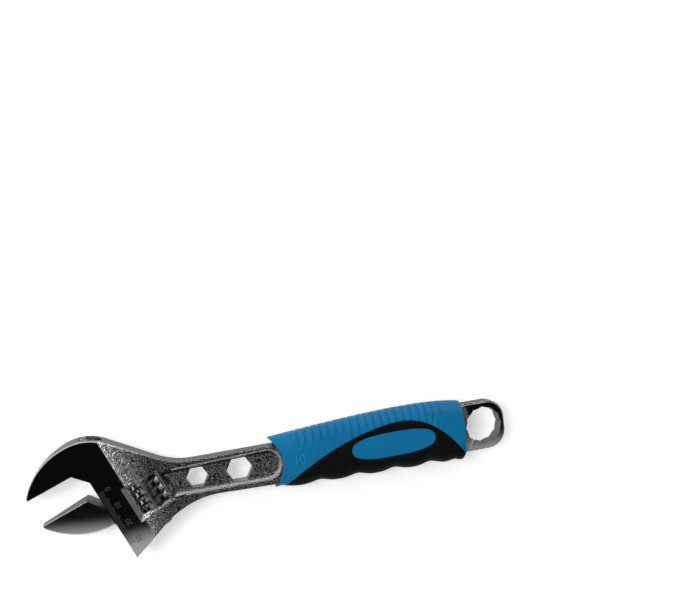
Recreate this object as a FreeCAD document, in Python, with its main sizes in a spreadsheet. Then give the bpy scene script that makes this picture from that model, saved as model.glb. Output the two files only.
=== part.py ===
import FreeCAD, Part
import math
import os

import Sketcher

# Adjustable wrench, 10 inch size, with a two-material grip, a twelve-point ring end and two
# hexagon holes in the shank.
#
# Tool frame: +X along the handle towards the ring end, +Y towards the fixed jaw's spine,
# +Z out of the front face. The origin is under the middle of the wrench as it lies on its back.
# Jaw frame: the tool frame turned by the jaw angle. Its origin is the throat, where the fixed
# jaw's clamping face meets the edge that the movable jaw slides along. "reach" runs along the
# clamping faces towards the handle, and "rise" runs across them towards the fixed jaw.

SIZES = [
    # whole wrench
    ("overall_length", 252.6, "jaw tip to ring end"),
    ("jaw_angle", 22.5, "clamping faces to the handle, degrees"),
    ("handle_offset", 2.38, "handle axis above the middle of the width"),
    ("throat_from_ring", 212.85, "throat to ring centre, along the handle"),
    ("throat_rise", 14.5, "throat above the handle axis"),
    ("head_thickness", 14.4, "across the head's machined faces"),
    ("jaw_opening", 14.2, "gap between the clamping faces as shown"),
    # fixed jaw and head outline
    ("jaw_reach", 30.1, "throat to jaw tip"),
    ("jaw_nose", 1.6, "blunt end of the fixed jaw"),
    ("nose_round", 0.8, "corner of the blunt end"),
    ("nose_slope", 11.4, "run of the back's first slope"),
    ("crown_rise", 14.3, "clamping face to the crown of the head"),
    ("crown_reach", 9.05, "crown line's corner beyond the throat"),
    ("back_round", 36.0, "rounding of the fixed jaw's back"),
    ("crown_round", 23.0, "rounding from the crown to the spine"),
    ("throat_run", 6.0, "throat facet along the clamping face"),
    ("throat_drop", 7.0, "throat facet along the sliding edge"),
    ("ear_drop", 52.0, "throat to the ear's tip along the sliding edge"),
    # shank and ring
    ("spine_meet", 43.7, "throat to the corner where spine meets shank, along the handle"),
    ("spine_round", 38.0, "inner curve from spine to shank"),
    ("ear_meet", 48.0, "throat to the corner where ear meets shank, along the handle"),
    ("ear_round", 45.0, "inner curve from ear to shank"),
    ("shank_top", 9.5, "handle axis to the shank's upper edge"),
    ("shank_bottom", 9.4, "handle axis to the shank's lower edge by the head"),
    ("shank_flare", 11.0, "handle axis to the shank's lower edge by the grip"),
    ("shank_thickness", 8.4, "across the shank"),
    ("tang_width", 15.0, "shank inside the grip"),
    ("tang_start", 108.5, "ring centre to the narrow tang"),
    ("tang_taper", 8.0, "length of the step down to the tang"),
    ("ring_width", 26.6, "across the ring end's straight sides"),
    ("ring_end", 11.4, "ring centre to the end of the wrench"),
    ("ring_round", 10.0, "corners of the ring end"),
    ("ring_shoulder", 14.0, "ring centre to where the ring end narrows inside the grip"),
    ("ring_taper", 6.0, "length of the step from the ring end down to the tang"),
    ("ring_thickness", 8.0, "across the ring end"),
    ("ring_chamfer", 1.0, "outer edge of the ring"),
    ("ring_socket", 18.0, "across flats of the twelve-point hole"),
    ("socket_back", 1.0, "ring centre to the hole's centre, towards the grip"),
    ("point_depth", 0.6, "points of the twelve-point hole"),
    # side profile
    ("tip_thickness", 5.6, "across the jaw tips"),
    ("taper_land", 0.2, "sliding edge to the start of the jaws' taper"),
    ("polished_width", 12.9, "polished band beyond the sliding edge"),
    ("polish_step", 0.3, "forged face below the polished face"),
    ("shank_reach", 41.0, "throat to where the head has thinned to the shank"),
    # recess and hexagon holes in the shank
    ("web_thickness", 5.2, "floor to floor across the recess"),
    ("recess_draft", 40.0, "slope of the recess walls, degrees"),
    ("recess_start", 33.0, "throat to the recess floor, along the jaw reach"),
    ("recess_end", 122.6, "ring centre to the centre of the recess's round end"),
    ("recess_round", 5.85, "round end of the recess floor"),
    ("recess_rise", 0.35, "recess's round end above the handle axis"),
    ("recess_top", 4.4, "recess floor above the handle axis by the head"),
    ("recess_bottom", 5.0, "recess floor below the handle axis by the head"),
    ("border_width", 2.6, "raised border outside the recess floor"),
    ("border_height", 0.5, "raised border above the shank"),
    ("border_draft", 45.0, "slope of the border's outer side, degrees"),
    ("small_hex", 10.0, "across flats"),
    ("small_hex_from_ring", 158.4, "centre to ring centre"),
    ("large_hex", 12.0, "across flats"),
    ("large_hex_from_ring", 136.6, "centre to ring centre"),
    # worm window
    ("window_length", 15.2, "along the worm"),
    ("window_top", 20.2, "throat to the window, along the sliding edge"),
    ("window_gap", 0.5, "worm to the window's wall on the shank side"),
    ("window_left_gap", 0.2, "worm to the window's wall on the jaw side"),
    ("rim_width", 1.9, "raised rim round the window"),
    ("rim_thickness", 13.0, "across the raised rims"),
    ("rim_bevel", 1.3, "depth of the bevel inside the rim"),
    ("rim_bevel_slope", 50.0, "bevel inside the rim, degrees"),
    # slide: rack, neck and their bore and slot
    ("rack_axis", 9.6, "sliding edge to the rack's axis"),
    ("rack_diameter", 9.8, "round rack"),
    ("rack_clearance", 0.1, "round the rack in its bore"),
    ("rack_top", 3.4, "clamping face to the rack's upper end, along the slide"),
    ("rack_bottom", 28.2, "clamping face to the rack's lower end, along the slide"),
    ("tail_diameter", 5.0, "thin end of the rack"),
    ("tail_length", 19.4, "thin end of the rack"),
    ("rack_chamfer", 0.6, "ends of the rack and its tail"),
    ("neck_thickness", 5.0, "web between jaw and rack"),
    ("neck_clearance", 0.15, "each side of the neck in its slot"),
    ("neck_top", 9.4, "clamping face to the top of the neck"),
    ("slide_clearance", 0.3, "movable jaw to the sliding edge"),
    # movable jaw
    ("heel_run", 6.0, "clamping face stops short of the sliding edge"),
    ("heel_drop", 8.6, "height of the heel's slope"),
    ("jaw_depth", 17.8, "clamping face to the jaw's lower end"),
    ("jaw_nose_drop", 2.4, "blunt end of the movable jaw"),
    ("belly_reach", 18.4, "sliding edge to the corner of the belly's tangents"),
    ("belly_depth", 16.7, "clamping face to that corner"),
    ("belly_round", 38.0, "belly of the movable jaw"),
    ("belly_bevel", 0.9, "along the belly's edges"),
    ("clamp_bevel", 0.35, "along the clamping faces"),
    ("spine_bevel", 0.5, "along the fixed jaw's back and the spine"),
    # worm and its pin
    ("worm_diameter", 14.4, "over the thread"),
    ("worm_root", 10.4, "under the thread"),
    ("knurl_depth", 0.4, "notches in the thread's crest"),
    ("worm_play", 0.25, "worm to the window, each end"),
    ("thread_pitch", 4.4, "single start, right hand"),
    ("thread_crest", 1.3, "thread width at the crest"),
    ("thread_base", 2.8, "thread width at the root"),
    ("thread_slack", 0.5, "each side of the thread in the rack"),
    ("rack_cut", 0.4, "rack grooves past the thread's crest"),
    ("mesh_depth", 1.3, "thread into the rack"),
    ("pin_diameter", 4.0, "worm pin"),
    ("pin_clearance", 0.06, "worm on its pin, radial"),
    ("pin_anchor", 6.0, "pin into the head above the window"),
    ("pin_head_diameter", 6.0, "slotted head"),
    ("pin_head_length", 2.4, "slotted head"),
    ("pin_head_seat", 8.6, "window to the underside of the pin's head"),
    ("pin_slot_width", 1.0, "screwdriver slot"),
    ("pin_slot_depth", 1.0, "screwdriver slot"),
    # worm spring
    ("spring_wire", 0.7, "wire diameter"),
    ("spring_diameter", 6.4, "to the wire's centre"),
    ("spring_pocket", 7.8, "counterbore in the worm"),
    ("spring_pocket_depth", 5.0, "counterbore in the worm"),
    ("spring_gap", 0.15, "spring to its seats"),
    ("spring_turns", 4.0, "coils"),
    # grip
    ("grip_start", 120.4, "ring centre to the grip's front corners"),
    ("grip_end", 13.6, "ring centre to the grip's back end"),
    ("grip_thickness", 17.8, "across the grip"),
    ("grip_top_start", 13.4, "handle axis to the spine side, front end"),
    ("grip_top_middle", 17.7, "handle axis to the spine side, middle"),
    ("grip_top_end", 15.4, "handle axis to the spine side, back end"),
    ("grip_bottom_start", 12.4, "handle axis to the finger side, front end"),
    ("grip_bottom_end", 15.4, "handle axis to the finger side, back end"),
    ("scallop_pitch", 20.6, "finger bumps"),
    ("scallop_phase", 23.6, "ring centre to the last bump"),
    ("scallop_height", 1.7, "bump to valley"),
    ("grip_mouth_round", 17.5, "hollow front edge round the recess"),
    ("grip_mouth_depth", 6.4, "hollow front edge behind the front corners"),
    ("skin_thickness", 2.4, "overmould over the sleeve"),
    ("lens_peak", 48.9, "ring centre to the top of the overmould"),
    ("lens_height", 11.3, "overmould's top above the handle axis"),
    ("lens_front", 114.5, "ring centre to the overmould's front corner"),
    ("lens_back", 14.5, "ring centre to the overmould's back corner"),
    ("lens_low", 12.4, "overmould's corners below the handle axis"),
    ("oval_length", 46.6, "badge panel"),
    ("oval_width", 13.0, "badge panel"),
    ("oval_from_ring", 54.3, "badge panel's centre"),
    ("groove_pitch", 4.15, "fine ribs on the spine side"),
    ("groove_width", 0.9, "fine ribs"),
    ("groove_depth", 0.5, "fine ribs"),
    ("groove_slope", 0.15, "fine ribs, run of a groove's side"),
    ("groove_first", 26.4, "ring centre to the last rib groove"),
    ("groove_low", 7.5, "handle axis to where the ribs start"),
]
GROOVE_COUNT = 20
KNURL_COUNT = 26
GRIP_END_THINNING = 0.09
SQUARENESS = 2.6  # exponent of the grip's sections: 2 is an ellipse, more is squarer
SECTION_POINTS = 20
SECTIONS_PER_SCALLOP = 4
RIB_STEP = 1.8  # longest straight run of the ribbed body
SIDES = {"front": 1, "back": -1}
ALMOST = 0.98  # leaves a short straight run between two roundings

doc = FreeCAD.newDocument("adjustable_wrench")
sheet = doc.addObject("Spreadsheet::Sheet", "Sizes")
for row, (alias, value, meaning) in enumerate(SIZES, start=1):
    sheet.set(f"A{row}", alias)
    sheet.set(f"B{row}", str(value))
    sheet.set(f"C{row}", meaning)
    sheet.setAlias(f"B{row}", alias)
doc.recompute()


class Size:
    """A number and the expression that gives it from the sheet, so both always agree."""

    def __init__(self, value, text):
        self.value = value
        self.text = text

    def _combine(self, other, sign, value):
        text = other.text if isinstance(other, Size) else repr(other)
        return Size(value, f"({self.text} {sign} {text})")

    def __add__(self, other):
        return self._combine(other, "+", self.value + number(other))

    def __sub__(self, other):
        return self._combine(other, "-", self.value - number(other))

    def __mul__(self, other):
        return self._combine(other, "*", self.value * number(other))

    def __truediv__(self, other):
        return self._combine(other, "/", self.value / number(other))

    def __neg__(self):
        return Size(-self.value, f"(-1 * {self.text})")


def number(size):
    return size.value if isinstance(size, Size) else float(size)


def text_of(size):
    return size.text if isinstance(size, Size) else repr(float(size))


def size(alias):
    return Size(float(sheet.get(alias)), f"Sizes.{alias}")


def cosine(angle):
    return Size(math.cos(math.radians(angle.value)), f"cos({angle.text})")


def sine(angle):
    return Size(math.sin(math.radians(angle.value)), f"sin({angle.text})")


def tangent(angle):
    return Size(math.tan(math.radians(angle.value)), f"tan({angle.text})")


def bind(item, path, value):
    """Set one property of an object and tie it to the sheet."""
    item.setExpression(path, text_of(value))


ZERO = Size(0.0, "0")
JAW_ANGLE = size("jaw_angle")
COS_JAW = cosine(JAW_ANGLE)
SIN_JAW = sine(JAW_ANGLE)
HEAD_HALF = size("head_thickness") / 2


def from_jaw(reach, rise):
    """A point of the jaw frame, seen from the ring's centre in the tool frame."""
    x = reach * COS_JAW - rise * SIN_JAW - size("throat_from_ring")
    y = reach * SIN_JAW + rise * COS_JAW + size("throat_rise")
    return x, y


def to_jaw(x, y):
    """Plain numbers the other way: a tool-frame point's reach and rise in the jaw frame."""
    across = x + size("throat_from_ring").value
    up = y - size("throat_rise").value
    reach = across * COS_JAW.value + up * SIN_JAW.value
    rise = up * COS_JAW.value - across * SIN_JAW.value
    return reach, rise


# ---------------------------------------------------------------- places in the tool frame

def place(item, x, y, z, turned=False):
    """Put a sub-part in the tool frame, from the ring's centre on the middle plane."""
    ring_x = size("overall_length") / 2 - size("ring_end")
    bind(item, "Placement.Base.x", x + ring_x)
    bind(item, "Placement.Base.y", y + size("handle_offset"))
    bind(item, "Placement.Base.z", z + size("grip_thickness") / 2)
    if turned:
        bind(item, "Placement.Rotation.Angle", JAW_ANGLE)


# ---------------------------------------------------------------- sketch helpers

def new_body(label):
    body = doc.addObject("PartDesign::Body", label)
    body.Label = label
    return body


def origin_item(body, role):
    return next(item for item in body.Origin.OriginFeatures if item.Role == role)


def new_sketch(body, name, plane="XY_Plane", offset=(ZERO, ZERO, ZERO), angle=None):
    """A sketch on one of the body's own planes. The offset is in the sketch's axes."""
    sketch = body.newObject("Sketcher::SketchObject", name)
    sketch.AttachmentSupport = [(origin_item(body, plane), "")]
    sketch.MapMode = "FlatFace"
    if angle is not None:
        axis = FreeCAD.Vector(0, 0, 1) if plane == "XY_Plane" else FreeCAD.Vector(0, 1, 0)
        sketch.AttachmentOffset = FreeCAD.Placement(
            FreeCAD.Vector(), FreeCAD.Rotation(axis, angle.value))
        bind(sketch, "AttachmentOffset.Rotation.Angle", angle)
    for letter, value in zip("xyz", offset):
        bind(sketch, f"AttachmentOffset.Base.{letter}", value)
    return sketch


def constrain(sketch, kind, *items):
    """Add a constraint. A last item that is a Size is its value, tied to the sheet."""
    if isinstance(items[-1], Size):
        index = sketch.addConstraint(Sketcher.Constraint(kind, *items[:-1], items[-1].value))
        sketch.setExpression(f"Constraints[{index}]", items[-1].text)
    else:
        sketch.addConstraint(Sketcher.Constraint(kind, *items))


def fix_point(sketch, geometry, end, x, y):
    constrain(sketch, "DistanceX", -1, 1, geometry, end, x)
    constrain(sketch, "DistanceY", -1, 1, geometry, end, y)


def add_outline(sketch, corners):
    """A closed outline of straight runs. Each corner is (x, y) or (x, y, rounding radius)."""
    points = [FreeCAD.Vector(number(corner[0]), number(corner[1]), 0) for corner in corners]
    starts = []
    ends = []
    arcs = []
    for index, corner in enumerate(corners):
        here = points[index]
        if len(corner) == 2:
            starts.append(here)
            ends.append(here)
            arcs.append(None)
            continue
        before = (points[index - 1] - here).normalize()
        after = (points[(index + 1) % len(points)] - here).normalize()
        half = before.getAngle(after) / 2
        radius = number(corner[2])
        run = radius / math.tan(half)
        bisector = (before + after).normalize()
        middle = here + bisector * (radius / math.sin(half) - radius)
        starts.append(here + before * run)
        ends.append(here + after * run)
        arcs.append(Part.Arc(starts[-1], middle, ends[-1]))
    lines = []
    for index in range(len(points)):
        run = Part.LineSegment(ends[index - 1], starts[index])
        lines.append(sketch.addGeometry(run, False))
    for index, corner in enumerate(corners):
        line_in = lines[index]
        line_out = lines[(index + 1) % len(lines)]
        if arcs[index] is None:
            constrain(sketch, "Coincident", line_in, 2, line_out, 1)
            fix_point(sketch, line_out, 1, corner[0], corner[1])
            continue
        arc = sketch.addGeometry(arcs[index], False)
        near_start = sketch.getPoint(arc, 1).distanceToPoint(starts[index]) < 1e-6
        arc_in, arc_out = (1, 2) if near_start else (2, 1)
        constrain(sketch, "Tangent", line_in, 2, arc, arc_in)
        constrain(sketch, "Tangent", arc, arc_out, line_out, 1)
        constrain(sketch, "Radius", arc, corner[2])
        corner_point = sketch.addGeometry(Part.Point(points[index]), True)
        constrain(sketch, "PointOnObject", corner_point, 1, line_in)
        constrain(sketch, "PointOnObject", corner_point, 1, line_out)
        fix_point(sketch, corner_point, 1, corner[0], corner[1])


def add_circle(sketch, x, y, diameter):
    centre = FreeCAD.Vector(number(x), number(y), 0)
    circle = sketch.addGeometry(Part.Circle(centre, FreeCAD.Vector(0, 0, 1), diameter.value / 2))
    constrain(sketch, "Diameter", circle, diameter)
    fix_point(sketch, circle, 3, x, y)


def add_polygon(sketch, x, y, across_flats, sides):
    """A regular polygon with a corner on the +X side of its centre."""
    corner_radius = across_flats / (2 * math.cos(math.pi / sides))
    corners = []
    for index in range(sides):
        turn = 2 * math.pi * index / sides
        corners.append((x + corner_radius * math.cos(turn), y + corner_radius * math.sin(turn)))
    add_outline(sketch, corners)


def extrude(body, kind, name, sketch, length=None, both_ways=False, reverse=False):
    """Pad or pocket a sketch. A pocket without a length goes through everything."""
    feature = body.newObject(f"PartDesign::{kind}", name)
    feature.Profile = sketch
    feature.Reversed = reverse
    if length is None:
        feature.Type = "ThroughAll"
    else:
        bind(feature, "Length", length)
    if both_ways:
        feature.SideType = "Symmetric"
    sketch.Visibility = False
    return feature


def check_cut(body, feature):
    """Recompute, and stop if a cutting feature has removed nothing."""
    doc.recompute()
    if not feature.Shape.Volume < feature.BaseFeature.Shape.Volume - 1e-3:
        raise RuntimeError(f"{feature.Name} removes nothing from {body.Label}")


def cut(body, name, sketch, **options):
    feature = extrude(body, "Pocket", name, sketch, **options)
    check_cut(body, feature)
    return feature


def loft(body, kind, name, draw, side, bottom, top, at=None):
    """Add or cut a sloping prism on one face. bottom and top are each (height, margin)."""
    x, y, _ = at or (ZERO, ZERO, ZERO)
    sketches = []
    for end, (height, margin) in (("foot", bottom), ("mouth", top)):
        offset = (x, y, height * SIDES[side])
        sketch = new_sketch(body, f"{name}_{end}", "XY_Plane", offset, JAW_ANGLE if at else None)
        draw(sketch, margin)
        sketch.Visibility = False
        sketches.append(sketch)
    feature = body.newObject(f"PartDesign::{kind}", name)
    feature.Profile = sketches[0]
    feature.Sections = sketches[1:]
    feature.Ruled = True
    doc.recompute()
    if kind == "SubtractiveLoft":
        check_cut(body, feature)
    return feature


def edges_where(feature, test):
    """Names of the feature's edges whose middle point passes a test."""
    names = []
    for index, edge in enumerate(feature.Shape.Edges, start=1):
        middle = edge.valueAt((edge.FirstParameter + edge.LastParameter) / 2)
        if test(edge, middle):
            names.append(f"Edge{index}")
    return names


def on_taper(reach, height):
    """True if a point lies on a jaw's tapering front or back face."""
    land = size("taper_land").value
    slope = (HEAD_HALF - size("tip_thickness") / 2).value / (size("jaw_reach").value - land)
    return abs(abs(height) - (HEAD_HALF.value + (reach + land) * slope)) < 1e-3


def chamfer(body, name, feature, test, width):
    """Bevel the edges that pass a test."""
    edges = edges_where(feature, test)
    if not edges:
        raise RuntimeError(f"{name} finds no edges on {body.Label}")
    bevel = body.newObject("PartDesign::Chamfer", name)
    bevel.Base = (feature, edges)
    bind(bevel, "Size", width)
    doc.recompute()
    return bevel


# ---------------------------------------------------------------- frame: the forged body

def frame_outline(sketch):
    """Fixed jaw, head, shank and tang, seen from the front."""
    reach = size("jaw_reach")
    nose = size("jaw_nose")
    crown_corner = size("crown_rise") - nose
    half_tang = size("tang_width") / 2
    tang_end = -size("tang_start")
    tang_begin = tang_end - size("tang_taper")
    throat = -size("throat_from_ring")
    corners = [
        from_jaw(-reach, ZERO),
        from_jaw(-reach, nose) + (size("nose_round"),),
        from_jaw(size("nose_slope") - reach, crown_corner + nose) + (size("back_round"),),
        from_jaw(size("crown_reach"), size("crown_rise")) + (size("crown_round"),),
        (throat + size("spine_meet"), size("shank_top"), size("spine_round")),
        (tang_begin, size("shank_top")),
        (tang_end, half_tang),
        (-size("ring_shoulder"), half_tang),
        (-size("ring_shoulder"), -half_tang),
        (tang_end, -half_tang),
        (tang_begin, -size("shank_flare")),
        (throat + size("ear_meet"), -size("shank_bottom"), size("ear_round")),
        from_jaw(ZERO, -size("ear_drop")),
        from_jaw(ZERO, -size("throat_drop")),
        from_jaw(-size("throat_run"), ZERO),
    ]
    add_outline(sketch, corners)


def ring_outline(sketch):
    """The ring end: straight sides out of the grip and a blunt end with round corners."""
    half = size("ring_width") / 2
    half_tang = size("tang_width") / 2
    shoulder = -size("ring_shoulder")
    add_outline(sketch, [
        (shoulder - size("ring_taper"), half_tang),
        (shoulder, half),
        (size("ring_end"), half, size("ring_round")),
        (size("ring_end"), -half, size("ring_round")),
        (shoulder, -half),
        (shoulder - size("ring_taper"), -half_tang),
    ])


def taper_relief(sketch):
    """What is taken off both faces so that a jaw thins evenly from its root to its tip."""
    land = -size("taper_land")
    far = size("taper_land") - size("jaw_reach") * 2
    above = size("head_thickness")
    for side in (1, -1):
        add_outline(sketch, [
            (land, HEAD_HALF * side),
            (land, above * side),
            (far, above * side),
            (far, (size("tip_thickness") - HEAD_HALF) * side),
        ])


def side_relief(sketch):
    """What is taken off above and below: jaw taper, forged face and shank thickness."""
    taper_relief(sketch)
    far = size("overall_length")
    above = size("head_thickness")
    shank = size("shank_thickness") / 2
    for side in (1, -1):
        add_outline(sketch, [
            (size("polished_width"), (HEAD_HALF - size("polish_step")) * side),
            (size("polished_width"), above * side),
            (far, above * side),
            (far, shank * side),
            (size("shank_reach"), shank * side),
        ])


def build_frame():
    body = new_body("frame")
    throat_x, throat_y = from_jaw(ZERO, ZERO)
    at_throat = (throat_x, throat_y, ZERO)

    outline = new_sketch(body, "frame_outline")
    frame_outline(outline)
    extrude(body, "Pad", "forging", outline, size("head_thickness"), both_ways=True)
    doc.recompute()

    relief = new_sketch(body, "side_relief", "XZ_Plane", (throat_x, ZERO, -throat_y), JAW_ANGLE)
    side_relief(relief)
    thinned = cut(body, "thinning", relief, both_ways=True)

    def is_clamp_edge(edge, middle):
        reach, rise = to_jaw(middle.x, middle.y)
        return abs(rise) < 1e-6 and on_taper(reach, middle.z)

    bevelled = chamfer(body, "clamp_chamfer", thinned, is_clamp_edge, size("clamp_bevel"))

    def is_spine_edge(edge, middle):
        reach, rise = to_jaw(middle.x, middle.y)
        outside = abs(middle.z) > 2 and reach < 45
        return outside and (rise > 0.5 or (reach > 13 and rise > -30))

    chamfer(body, "spine_chamfer", bevelled, is_spine_edge, size("spine_bevel"))

    ring = new_sketch(body, "ring_outline")
    ring_outline(ring)
    ring_end = extrude(body, "Pad", "ring_end", ring, size("ring_thickness"), both_ways=True)
    doc.recompute()

    def is_ring_edge(edge, middle):
        on_face = abs(abs(middle.z) - size("ring_thickness").value / 2) < 1e-6
        return on_face and middle.x > -size("ring_shoulder").value

    chamfer(body, "ring_bevel", ring_end, is_ring_edge, size("ring_chamfer"))

    rim = new_sketch(body, "rim_outline", "XY_Plane", at_throat, JAW_ANGLE)
    window_outline(rim, size("rim_width"))
    extrude(body, "Pad", "window_rim", rim, size("rim_thickness"), both_ways=True)
    add_recess(body)
    cut_window(body, at_throat)
    cut_slide(body, throat_x, throat_y)
    cut_pin_bore(body, throat_x, throat_y)
    cut_sockets(body)
    place(body, ZERO, ZERO, ZERO)
    return body


def worm_reach():
    """The worm stands off the rack so that its thread reaches in by the mesh depth."""
    rack_face = size("rack_axis") + size("rack_diameter") / 2
    return rack_face - size("mesh_depth") + size("worm_diameter") / 2


def recess_outline(sketch, margin):
    """The recess seen from the front: square by the window, round by the grip."""
    top_start, _ = from_jaw(size("recess_start") - margin, -size("window_top"))
    low_rise = -size("window_top") - size("window_length")
    low_start, _ = from_jaw(size("recess_start") - margin, low_rise)
    radius = size("recess_round") + margin
    end = radius - size("recess_end")
    rise = size("recess_rise")
    corners = [
        (top_start, size("recess_top") + margin),
        (end, rise + radius, radius * ALMOST),
        (end, rise - radius, radius * ALMOST),
        (low_start, -size("recess_bottom") - margin),
    ]
    add_outline(sketch, corners)


def add_recess(body):
    """A sunk panel with sloping walls and a low raised border, in each side of the shank."""
    face = size("shank_thickness") / 2
    floor = size("web_thickness") / 2
    border_top = face + size("border_height")
    border_foot = size("border_width") + size("border_height") * tangent(size("border_draft"))
    wall = (HEAD_HALF - floor) * tangent(size("recess_draft"))
    for side in SIDES:
        loft(body, "AdditiveLoft", f"border_{side}", recess_outline, side,
             (ZERO, border_foot), (border_top, size("border_width")))
    for side in SIDES:
        loft(body, "SubtractiveLoft", f"recess_{side}", recess_outline, side,
             (floor, ZERO), (HEAD_HALF, wall))


def window_outline(sketch, margin):
    """The worm's window in the jaw frame, grown by a margin."""
    left = worm_reach() - size("worm_diameter") / 2 - size("window_left_gap")
    right = worm_reach() + size("worm_diameter") / 2 + size("window_gap")
    top = -size("window_top")
    bottom = top - size("window_length")
    add_outline(sketch, [
        (left - margin, top + margin),
        (right + margin, top + margin),
        (right + margin, bottom - margin),
        (left - margin, bottom - margin),
    ])


def cut_window(body, at_throat):
    """The worm's window, right through, with a bevel inside its raised rims."""
    opening = new_sketch(body, "window_outline", "XY_Plane", at_throat, JAW_ANGLE)
    window_outline(opening, ZERO)
    cut(body, "window", opening, both_ways=True)
    depth = HEAD_HALF - size("rim_thickness") / 2 + size("rim_bevel")
    for side in SIDES:
        loft(body, "SubtractiveLoft", f"window_bevel_{side}", window_outline, side,
             (HEAD_HALF - depth, ZERO),
             (HEAD_HALF, depth * tangent(size("rim_bevel_slope"))), at_throat)


def cut_slide(body, throat_x, throat_y):
    """The rack's bore, right through the head, and the neck's slot below the throat."""
    bore = new_sketch(body, "bore_outline", "XZ_Plane", (throat_x, ZERO, -throat_y), JAW_ANGLE)
    add_circle(bore, size("rack_axis"), ZERO, size("rack_diameter") + size("rack_clearance") * 2)
    cut(body, "rack_bore", bore, both_ways=True)

    slot_x, slot_y = from_jaw(ZERO, -size("throat_drop"))
    slot = new_sketch(body, "slot_outline", "XZ_Plane", (slot_x, ZERO, -slot_y), JAW_ANGLE)
    half = size("neck_thickness") / 2 + size("neck_clearance")
    add_outline(slot, [(-size("rack_axis"), -half), (size("rack_axis"), -half),
                       (size("rack_axis"), half), (-size("rack_axis"), half)])
    cut(body, "neck_slot", slot, reverse=True)


def cut_pin_bore(body, throat_x, throat_y):
    """The worm pin's hole, from the ear's underside to a blind end above the window."""
    reach = worm_reach()
    top_x, top_y = from_jaw(ZERO, size("pin_anchor") - size("window_top"))
    bore = new_sketch(body, "pin_bore_outline", "XZ_Plane", (top_x, ZERO, -top_y), JAW_ANGLE)
    add_circle(bore, reach, ZERO, size("pin_diameter"))
    cut(body, "pin_bore", bore, reverse=True)

    seat = -size("window_top") - size("window_length") - size("pin_head_seat")
    seat_x, seat_y = from_jaw(ZERO, seat)
    head = new_sketch(body, "pin_seat_outline", "XZ_Plane", (seat_x, ZERO, -seat_y), JAW_ANGLE)
    add_circle(head, reach, ZERO, size("pin_head_diameter"))
    cut(body, "pin_seat", head, reverse=True)


def cut_sockets(body):
    """The two hexagon holes and the twelve-point ring, right through."""
    sketch = new_sketch(body, "hexagons")
    add_polygon(sketch, -size("small_hex_from_ring"), ZERO, size("small_hex"), 6)
    add_polygon(sketch, -size("large_hex_from_ring"), ZERO, size("large_hex"), 6)
    cut(body, "hexagon_holes", sketch, both_ways=True)

    corner_radius = size("ring_socket") / (2 * math.cos(math.pi / 6))
    valley_radius = corner_radius - size("point_depth")
    star = new_sketch(body, "twelve_point")
    corners = []
    for index in range(24):
        turn = math.pi * index / 12
        radius = corner_radius if index % 2 == 0 else valley_radius
        corners.append((radius * math.cos(turn) - size("socket_back"), radius * math.sin(turn)))
    add_outline(star, corners)
    cut(body, "twelve_point_hole", star, both_ways=True)


# ---------------------------------------------------------------- movable jaw

def jaw_outline(sketch):
    """The movable jaw from the front. Its own origin is on its clamping face, at the throat."""
    reach = size("jaw_reach")
    edge = -size("slide_clearance")
    add_outline(sketch, [
        (-reach, ZERO),
        (-size("heel_run"), ZERO),
        (edge, -size("heel_drop")),
        (edge, -size("jaw_depth")),
        (-size("belly_reach"), -size("belly_depth"), size("belly_round")),
        (-reach, -size("jaw_nose_drop")),
    ])


def worm_middle():
    """Rise of the worm's middle in the jaw frame."""
    return -size("window_top") - size("window_length") / 2


def cut_rack_teeth(body):
    """Grooves that the worm's thread runs in, spaced by its pitch and in mesh as drawn."""
    pitch = size("thread_pitch")
    near = size("rack_axis") + size("rack_diameter") / 2 - size("mesh_depth") - size("rack_cut")
    far = near + size("rack_diameter") / 2
    flank = (size("thread_base") - size("thread_crest")) / (
        size("worm_diameter") - size("worm_root"))
    half_near = size("thread_crest") / 2 + size("thread_slack") - size("rack_cut") * flank
    half_far = half_near + (far - near) * flank
    mesh = worm_middle() + size("jaw_opening") + thread_start() + pitch / 2
    past_end = 0.3
    turns_down = math.floor((mesh + size("rack_bottom")).value / pitch.value + past_end)
    lowest = mesh - pitch * turns_down
    count = math.floor((size("rack_top") - lowest).value / pitch.value + past_end) + 1
    groove = new_sketch(body, "rack_groove")
    add_outline(groove, [(near, lowest - half_near), (far, lowest - half_far),
                         (far, lowest + half_far), (near, lowest + half_near)])
    first = cut(body, "rack_first_groove", groove, both_ways=True)
    teeth = body.newObject("PartDesign::LinearPattern", "rack_teeth")
    teeth.Originals = [first]
    teeth.Direction = (groove, ["V_Axis"])
    teeth.Mode = "Spacing"
    teeth.Occurrences = count
    bind(teeth, "Offset", pitch)
    body.Tip = teeth
    check_cut(body, teeth)
    return teeth


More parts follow.
